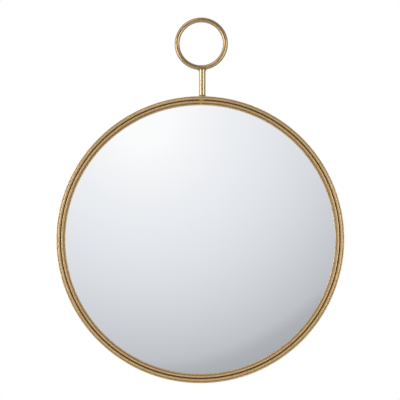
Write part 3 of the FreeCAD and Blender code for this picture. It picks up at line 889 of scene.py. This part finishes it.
def make_closing_welds(finish):
    """Where the rods' ends meet: a smear in the groove and a dressed bead on the inner rod."""
    groove = (0.0030, bead_level - 0.0007, groove_radius)
    on_inner_rod = (0.0022, bead_level + 0.0004, inner_bead_bend - 0.0012)
    points, faces = joined([
        lump(groove, (0.0052, 0.0017, 0.0011), turn=0.01, seed=1.7),
        lump(on_inner_rod, (0.0024, 0.0030, 0.0022), turn=0.0, seed=4.1),
    ])
    marks = [0.0] * len(points)
    welds = new_piece("closing_welds", points, faces, finish, sharp=180.0, marks=marks)
    keep(welds, "antique_gold")


def make_screw_shape(finish):
    """A pan head screw, facing +Y from its seat, with a cross recess and a washed crown."""
    rise, rim, bulge, dome = 0.0022, 0.0007, 0.00003, 3.2
    reach, half_arm, slope, recess_depth = 0.00185, 0.00042, 0.00028, 0.0012
    steps, rings = 48, 22
    points = []

    def crown(radius):
        return rise - (rise - rim) * (radius / screw_head) ** dome

    def recess(x, z):
        share = 0.0
        for along, across in ((abs(x), abs(z)), (abs(z), abs(x))):
            end = 1.0 - eased(along, reach * 0.55, reach)
            side = 1.0 - eased(across, half_arm, half_arm + slope)
            share = max(share, end * side)
        return recess_depth * share

    for ring in range(1, rings + 1):
        radius = screw_head * ring / rings
        for x, height, z in ring_of(radius, crown(radius), steps):
            points.append((x, height - recess(x, z), z))
    under = ((screw_head + bulge, rim * 0.5), (screw_head, 0.0), (screw_head * 0.5, 0.0))
    for radius, height in under:
        points += ring_of(radius, height, steps)
    points += [(0.0, rise - recess_depth, 0.0), (0.0, 0.0, 0.0)]
    faces = inside_out(between_poles(rings + len(under), steps))
    return new_piece("screw_shape", points, faces, finish, sharp=50.0)


def make_screws(tree, finish):
    """Eight screws through the tabs and two through each strap, each turned its own way."""
    hole_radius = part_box("tab_screws")[1].x - screw_head
    points = ring_of(hole_radius, board_back + tab_sheet, 8)
    for side in ("left", "right"):
        low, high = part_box(f"hanger_screws_{side}")
        for height in (low.z + screw_head, high.z - screw_head):
            points.append(((low.x + high.x) / 2, board_back + 2 * strap_sheet, height))
    shape = make_screw_shape(finish)
    screws = many_of(shape, "pan_head_screws", tree, finish, points, loose=1.5, seed=11)
    keep(screws, "zinc_screws", "tab_screws", "hanger_screws_left", "hanger_screws_right")


def bent_sheet(path, half_widths, thickness, columns=9):
    """A closed shell of sheet metal: its middle line in the X, Y plane, its width along Z.

    path is a list of (x, y), half_widths the half width at each of its points."""
    count = len(path)
    edge = thickness * 0.18
    half = thickness / 2
    points = []
    for k, ((x, y), width) in enumerate(zip(path, half_widths)):
        before, after = path[max(k - 1, 0)], path[min(k + 1, count - 1)]
        along = Vector((after[0] - before[0], after[1] - before[1])).normalized()
        span = width - edge
        flat = [-span + 2.0 * span * column / (columns - 1) for column in range(columns)]
        outline = [(half, across) for across in flat]
        outline += [(half - edge, width), (edge - half, width)]
        outline += [(-half, -across) for across in flat]
        outline += [(edge - half, -width), (half - edge, -width)]
        for lift, across in outline:
            points.append((x - along.y * lift, y + along.x * lift, across))
    return points, loft(count, len(outline))


def rounded_half_width(half_width, glaze_and_shade_mark, into_corner):
    """A strip's half width this far into its round corners."""
    return half_width - glaze_and_shade_mark + (glaze_and_shade_mark**2 - into_corner**2) ** 0.5


def make_tabs(tree, finish):
    """Strips welded inside the hoop's wall and folded over the board, with round corners."""
    reach, leg, bend = 0.021, 0.007, 0.0005
    half_width, glaze_and_shade_mark = 0.0075, 0.0035
    wall_side = frame_radius - sheet_wall - 0.0002
    middle = wall_side - tab_sheet / 2
    level = board_back + tab_sheet / 2
    fold = bend + tab_sheet / 2
    tip = wall_side - reach
    path = [(middle, board_back + tab_sheet - leg)]
    path += straight(path[0], (middle, level - fold), 4)
    path += arc((middle - fold, level - fold), fold, 0, 90, 8)
    path += straight((middle - fold, level), (tip + glaze_and_shade_mark, level), 8)
    path += [(tip + glaze_and_shade_mark * (1.0 - math.sin(math.radians(a))), level) for a in range(0, 90, 9)]
    widths = [
        rounded_half_width(half_width, glaze_and_shade_mark, max(0.0, tip + glaze_and_shade_mark - x)) for x, _ in path
    ]
    shells = [bent_sheet(path, widths, tab_sheet)]
    for side in (-1, 1):
        place = (middle + 0.0004, level - 0.0035, side * (half_width + 0.0002))
        shells.append(lump(place, (0.0009, 0.0024, 0.0011), turn=0.0, seed=2.0 + side))
    points, faces = joined(shells)
    marks = [0.35] * len(points)
    shape = new_piece("tab_shape", points, faces, finish, marks=marks)
    turns = [math.radians(-45.0 * number) for number in range(8)]
    tabs = many_of(shape, "folded_tabs", tree, finish, [(0, 0, 0)] * 8, turns)
    keep(tabs, "tab_steel", *(f"retaining_tab_{number}" for number in range(1, 9)))


def make_bumpers(tree, finish):
    """Moulded bumpers with a rounded rim, a dished face and a thin flange at the foot."""
    height = -board_back
    foot, rim, rounding, flange, lip = 0.0070, 0.0060, 0.0010, 0.0005, 0.0004
    steps = 56
    # Radius and depth: the flange, the side, its rounded rim, and the dish in the face
    section = [(foot, 0.0), (foot, flange)]
    section += arc((foot - lip, flange), lip, 0, 90, 3)[1:]
    section += [(foot - 0.0009, 0.0010)]
    section += arc((rim - rounding, height - rounding), rounding, 8, 90, 7)
    section += [(rim - 0.0018, height - 0.00002), (rim - 0.0026, height - 0.00018)]
    section += [(0.0012, height - 0.00030)]
    points = [point for radius, depth in section for point in ring_of(radius, depth, steps)]
    faces = inside_out(loft(len(section), steps))
    shape = new_piece("bumper_shape", points, faces, finish, sharp=35.0)
    places = []
    for number in range(1, 5):
        low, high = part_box(f"wall_bumper_{number}")
        places.append(((low.x + high.x) / 2, board_back, (low.z + high.z) / 2))
    bumpers = many_of(shape, "rubber_bumpers", tree, finish, places, loose=6.0, seed=4)
    keep(bumpers, "bumper_rubber", *(f"wall_bumper_{number}" for number in range(1, 5)))


def make_strap(side, finish):
    """A strap folded double round the D-ring's bar, with a round lower end."""
    half_width, glaze_and_shade_mark, length, fold_step = 0.007, 0.005, 0.050, 0.0015
    low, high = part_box(f"hanger_strap_{side}")
    centre_x = (low.x + high.x) / 2
    pivot = high.z - eye_outside
    half = strap_sheet / 2
    upper_level = half + strap_sheet
    bend_level = 3 * strap_sheet
    bend_height = -((eye_outside + strap_sheet) ** 2 - (bend_level - eye_outside) ** 2) ** 0.5
    toward = math.degrees(math.atan2(bend_height, bend_level - eye_outside))
    round_start, upper_end = -length + glaze_and_shade_mark, -length + fold_step

    # The layer on the board, up to the eye
    path = [(-length, half)]
    path += straight((-length, half), (round_start, half), 8)
    path += [(round_start, half)]
    path += straight((round_start, half), (0.0, half), 12)
    # Round the bar, and back onto the first layer; arcs run as depth and height
    eye = arc((eye_outside, 0.0), eye_outside - half, 180, toward, 28)
    back = arc((bend_level, bend_height), strap_sheet + half, toward + 180, 180, 8)
    path += [(height, depth) for depth, height in eye + back[1:]]
    # The upper layer, down to its own end
    path += straight((bend_height, upper_level), (round_start, upper_level), 12)
    path += straight((round_start, upper_level), (upper_end, upper_level), 6)
    path += [(upper_end, upper_level)]

    widths = []
    for height, _ in path:
        into_corner = min(max(0.0, round_start - height), glaze_and_shade_mark * 0.995)
        widths.append(rounded_half_width(half_width, glaze_and_shade_mark, into_corner))
    points, faces = bent_sheet(path, widths, strap_sheet)
    placed = [(centre_x + z, board_back + y, pivot + x) for x, y, z in points]
    strap = new_piece(f"strap_hanger_{side}", placed, inside_out(faces), finish)
    keep(strap, "zinc_sheet", f"hanger_strap_{side}")


def make_d_ring(side, finish):
    """Round wire bent to a D, its two ends meeting at the middle of the bar."""
    width, drop, glaze_and_shade_mark, sides = 0.027, 0.019, 0.0035, 20
    limb = width / 2 - wire_rod
    low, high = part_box(f"hanger_strap_{side}")
    pivot = Vector(((low.x + high.x) / 2, board_back + eye_outside, high.z - eye_outside))
    # At rest the bow's end leans back until it lies just over the strap's two layers
    end_depth = 2 * strap_sheet + rest_gap + wire_rod
    tilt = math.asin((end_depth - eye_outside) / drop)
    bow_level = -(drop - limb)
    path = [(-(limb - glaze_and_shade_mark) * (1 - 2 * k / 8), 0.0) for k in range(8)]
    path += arc((limb - glaze_and_shade_mark, -glaze_and_shade_mark), glaze_and_shade_mark, 90, 0, 8)
    path += straight((limb, -glaze_and_shade_mark), (limb, bow_level), 5)
    path += arc((0.0, bow_level), limb, 0, -180, 40)
    path += straight((-limb, bow_level), (-limb, -glaze_and_shade_mark), 5)
    path += arc((-(limb - glaze_and_shade_mark), -glaze_and_shade_mark), glaze_and_shade_mark, 180, 90, 8)[:-1]
    points = []
    for k, (x, z) in enumerate(path):
        before, after = path[k - 1], path[(k + 1) % len(path)]
        along = Vector((after[0] - before[0], 0.0, after[1] - before[1])).normalized()
        out = along.cross(Vector((0.0, 1.0, 0.0)))
        for angle in round_angles(sides):
            spot = Vector((x, wire_rod * math.sin(angle), z)) + out * wire_rod * math.cos(angle)
            turned_y = spot.y * math.cos(tilt) - spot.z * math.sin(tilt)
            turned_z = spot.y * math.sin(tilt) + spot.z * math.cos(tilt)
            points.append((pivot.x + spot.x, pivot.y + turned_y, pivot.z + turned_z))
    faces = inside_out(loft(len(path), sides, ends="joined"))
    ring = new_piece(f"d_wire_{side}", points, faces, finish, sharp=180.0)
    keep(ring, "zinc_wire", f"d_ring_{side}", body=f"d_ring_{side}")


def dress_packed_nodes():
    """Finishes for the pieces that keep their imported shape."""
    finishes = {
        "mirror_pane": mirror_glass(),
        "silver_coat": backing_paint(),
        "foam_sheet": black_foam(),
        "back_board": fibreboard(),
    }
    finishes["glazing_tape"] = finishes["foam_sheet"]
    for name, finish in finishes.items():
        node = nodes[name]
        if not node.material_slots:
            node.data.materials.append(finish)
        for slot in node.material_slots:
            slot.material = finish


def make_floor():
    """A round floor, wide enough to reach the horizon."""
    radius, level, steps = 14.0, -0.62, 96
    points = [
        (radius * math.cos(angle), radius * math.sin(angle), level)
        for angle in round_angles(steps)
    ]
    floor = new_piece("floor", points, [tuple(range(steps))], studio_floor())


def front_sweep(sky, x, z):
    """The soft grey sweep in front, by direction: one wide gradient, an edge and a glow."""
    tones = [
        (0.42, rgb(0.406, 0.427, 0.447)),
        (0.66, rgb(0.644, 0.658, 0.693)),
        (0.84, rgb(0.824, 0.842, 0.873)),
        (0.96, rgb(0.966, 0.956, 0.969)),
        (1.00, grey(1.0)),
    ]
    level = 0.102 - 3.28 * x + 9.80 * z - 34.7 * x * x - 2.5 * x * z - 32.75 * z * z
    over_edge = z - (0.0538 + 0.5535 * x + 6.02 * x * x)
    level = level - 0.060 * (1.0 - sky.smooth(over_edge, -0.0042, 0.0042))
    aside, above = x + 0.0492, z - 0.1470
    from_glow = (aside * aside + 0.81 * above * above) ** 0.5
    level = level + 0.078 * (1.0 - sky.smooth(from_glow, 0.0, 0.0385))
    sweep = sky.add("ShaderNodeValToRGB", None, {0: level})
    stops = sweep.socket.node.color_ramp.elements
    while len(stops) < len(tones):
        stops.new(1.0)
    for stop, (position, tone) in zip(stops, tones):
        stop.position = position
        stop.color = tone
    return sweep


def make_world():
    """White behind the mirror, and in front of it the soft grey sweep that its glass shows."""
    world = bpy.data.worlds.new("studio")
    bpy.context.scene.world = world
    world.use_nodes = True
    sky = Tree(world.node_tree)
    background = sky.tree.nodes["Background"]
    x, y, z = sky.split(sky.add("ShaderNodeTexCoord", output="Generated"))
    white = grey(1.0)

    # In front: bright to the sides and below, dimmer overhead and round the sweep
    ahead = sky.smooth(-y, 0.962, 0.981) * sky.smooth(z, -0.01, 0.03)
    overhead = sky.smooth(z + 0.15 * x, 0.42, 0.84)
    room = sky.mix(overhead, dimmed(ROOM_LIGHT, 0.95), dimmed(ROOM_LIGHT, 0.20))
    room = sky.mix(sky.smooth(-y, 0.78, 0.90), room, dimmed(ROOM_LIGHT, 0.10))
    front = sky.mix(ahead, room, front_sweep(sky, x, z))

    # Behind: white, but grey straight back and dark at the right
    back = sky.mix(sky.smooth(y + 0.25 * z, 0.72, 0.98), white, grey(0.52))
    back = sky.mix(sky.smooth(x, 0.30, 0.85), back, rgb(0.30, 0.29, 0.27))

    studio = sky.mix(sky.smooth(y, -0.35, 0.25), front, back)
    seen = sky.add("ShaderNodeLightPath", output="Is Camera Ray")
    plug(sky.tree, background.inputs["Color"], sky.mix(seen, studio, white))
    background.inputs["Strength"].default_value = 1.0


def softbox(name, azimuth, elevation, width, height, radiance):
    """A rectangular soft light, aimed at the mirror and unseen by the camera."""
    lamp = bpy.data.lights.new(name, "AREA")
    lamp.shape = "RECTANGLE"
    lamp.size = width
    lamp.size_y = height
    lamp.energy = radiance * math.pi * width * height
    lamp.color = SOFTBOX_COLOUR
    holder = new_object(name, lamp)
    turn, lift = math.radians(azimuth), math.radians(elevation)
    level = math.cos(lift)
    away = Vector((math.sin(turn) * level, -math.cos(turn) * level, math.sin(lift)))
    target = Vector((0.0, 0.0, 0.1))
    holder.location = target + away * SOFTBOX_DISTANCE
    holder.rotation_mode = "QUATERNION"
    holder.rotation_quaternion = (-away).to_track_quat("-Z", "Y")
    holder.visible_camera = False


def make_camera():
    """From a little below and to the right, far off, as the photograph's view is."""
    distance, from_right, from_below = 4.5, math.radians(1.5), math.radians(-5.5)
    # Lens, tilt and turn give the object its place and size in the photograph
    lens, tilt, turn = 208.58, 6.4752, 1.5090
    camera = bpy.data.cameras.new("camera")
    camera.sensor_width = 36.0
    camera.lens = lens
    camera.clip_end = 50.0
    holder = new_object("camera", camera)
    holder.location = (
        distance * math.tan(from_right), -distance, distance * math.tan(from_below)
    )
    holder.rotation_euler = (math.radians(90.0 + tilt), 0.0, math.radians(turn))
    bpy.context.scene.camera = holder


def make_all():
    """The studio first, then the pieces from the front to the back."""
    make_camera()
    make_world()
    for name, setting in SOFTBOXES.items():
        softbox(name, *setting)
    make_floor()
    dress_packed_nodes()
    frame_gold = antique_gold("frame", (0.0, 0.0, 0.0), groove_radius, **FRAME_GILDING)
    ring_gold = antique_gold("ring", ring_centre, ring_bend, **RING_GILDING)
    stem_gold = antique_gold("stem", (stem_across, stem_level, 0.0), None, **STEM_GILDING)
    bent_rods = bent_rod_tree()
    set_round = set_round_tree()
    make_beads(bent_rods, frame_gold)
    make_angle_hoop(frame_gold)
    make_hanging_ring(bent_rods, ring_gold)
    make_stem(stem_gold)
    make_closing_welds(frame_gold)
    make_screws(set_round, zinc("zinc_screws", (0.70, 0.71, 0.72), brushed=0.0))
    make_tabs(set_round, frame_gold)
    make_bumpers(set_round, bumper_rubber())
    strap_zinc = zinc("zinc_sheet", (0.66, 0.67, 0.68), brushed=1.0)
    wire_zinc = zinc("zinc_wire", (0.72, 0.73, 0.74), brushed=0.4)
    for side in ("left", "right"):
        make_strap(side, strap_zinc)
        make_d_ring(side, wire_zinc)


make_all()
bpy.context.scene.view_settings.view_transform = "Standard"
